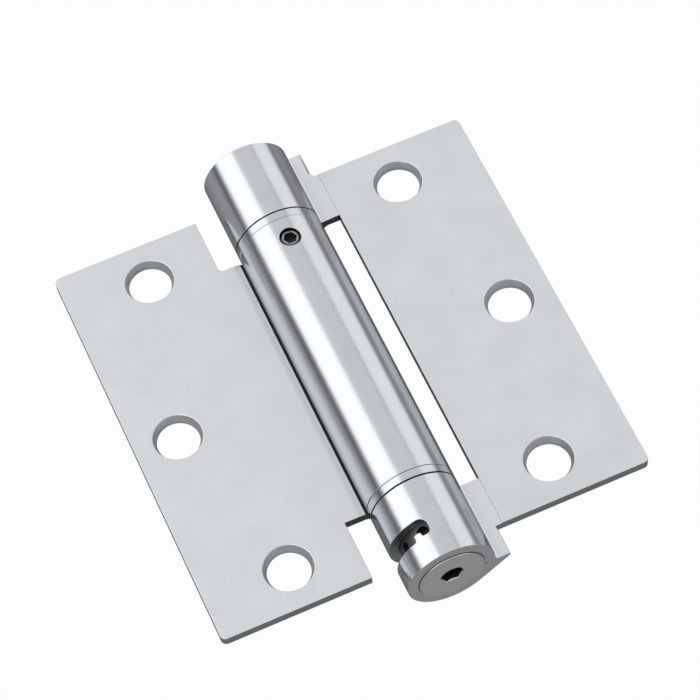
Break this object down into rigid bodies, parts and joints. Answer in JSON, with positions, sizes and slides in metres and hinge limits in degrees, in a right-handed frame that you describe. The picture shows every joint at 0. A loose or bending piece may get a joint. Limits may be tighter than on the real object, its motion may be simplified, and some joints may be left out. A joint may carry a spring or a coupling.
{
  "type": "adjustable spring hinge",
  "caption": "Self-closing butt hinge: two flat countersunk leaves on a rolled three-knuckle barrel with a torsion spring inside, a hex-socket tension drum and a pin slot.",
  "frame": {"origin": "on the hinge axis, at the middle of the barrel's length", "axes": "+Y along the hinge axis towards the spring anchor end, -Y towards the adjuster end, +X towards the outer edge of the leaf with the two end knuckles, +Z out of both countersunk faces while the hinge lies open flat"},
  "size_m": [0.0888, 0.1024, 0.018],
  "materials": {
    "leaf_steel": "satin chrome plate, polished along the barrel",
    "bearing_steel": "plain turned steel, smooth",
    "plug_steel": "dull grey turned steel",
    "screw_steel": "blackened steel",
    "spring_steel": "oiled spring wire"
  },
  "bodies": {
    "end_leaf_body": {"end_leaf": "leaf_steel", "pivot_plug": "plug_steel"},
    "center_leaf_body": {"center_leaf": "leaf_steel", "upper_bearing": "bearing_steel", "lower_bearing": "bearing_steel", "spring_anchor_plug": "plug_steel", "anchor_set_screw": "screw_steel", "torsion_spring": "spring_steel"},
    "drum_body": {"adjuster_drum": "plug_steel"}
  },
  "joints": [
    {"name": "leaf_swing", "type": "hinge", "parent": "end_leaf_body", "child": "center_leaf_body", "pos_m": [0, 0, 0], "axis": [0, 1, 0], "range_deg": [-150, 180]},
    {"name": "spring_wind", "type": "hinge", "parent": "center_leaf_body", "child": "drum_body", "pos_m": [0, -0.0435, 0], "axis": [0, 1, 0], "range_deg": [0, 225], "stiffness_Nm_per_rad": 0.406, "deforming": ["torsion_spring"]}
  ]
}
